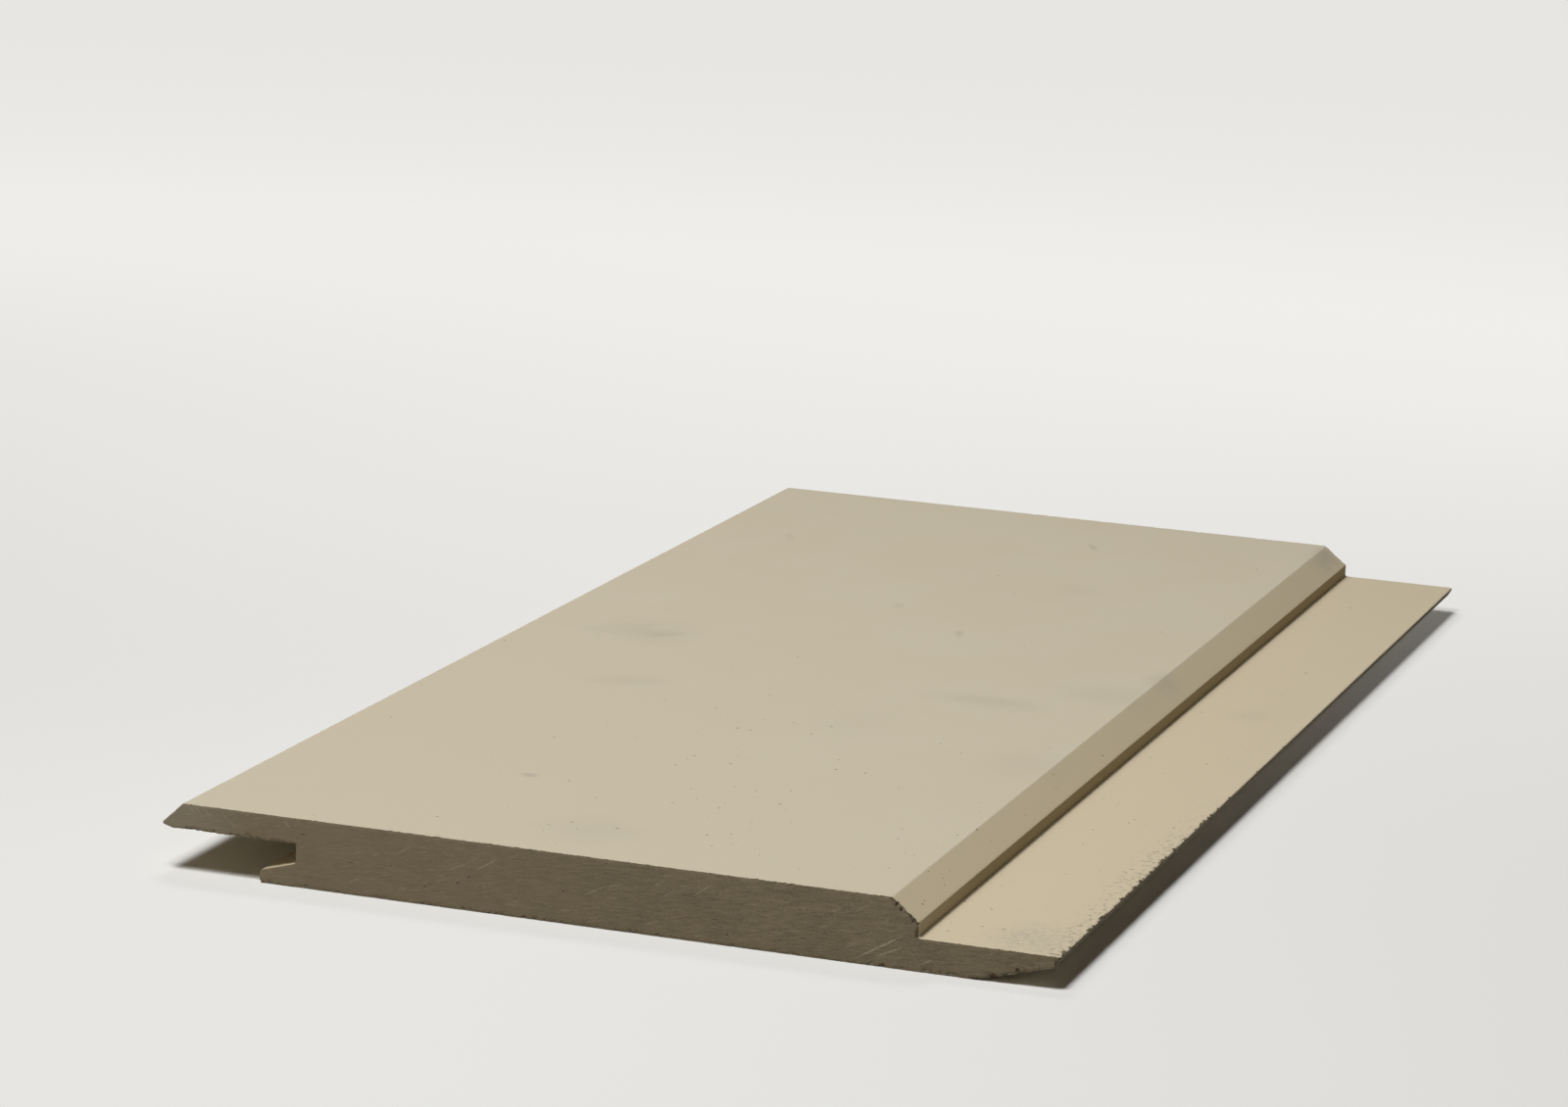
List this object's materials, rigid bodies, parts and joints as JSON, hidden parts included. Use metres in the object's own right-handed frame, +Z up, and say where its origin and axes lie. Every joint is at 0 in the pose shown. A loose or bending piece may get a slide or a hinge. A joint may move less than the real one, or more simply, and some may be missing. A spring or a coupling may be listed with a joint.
{
  "type": "v-groove siding board",
  "caption": "Flat primed fibre cement cladding board with bevelled face edges, an overlapping lip with a groove along one side and a tapered nailing tongue along the other.",
  "frame": {"origin": "middle of the board's outline on its back face, which lies on the floor", "axes": "+X across the width, from the overlapping lip towards the tongue; +Y along the length; +Z up, out of the painted face"},
  "size_m": [0.2096, 0.44, 0.0159],
  "materials": {
    "primed_fibre_cement": "cream primer on the face, edges, tongue and groove; bare grey-brown fibre cement on the sawn ends and the back"
  },
  "bodies": {
    "root": {"siding_board": "primed_fibre_cement"}
  },
  "joints": []
}
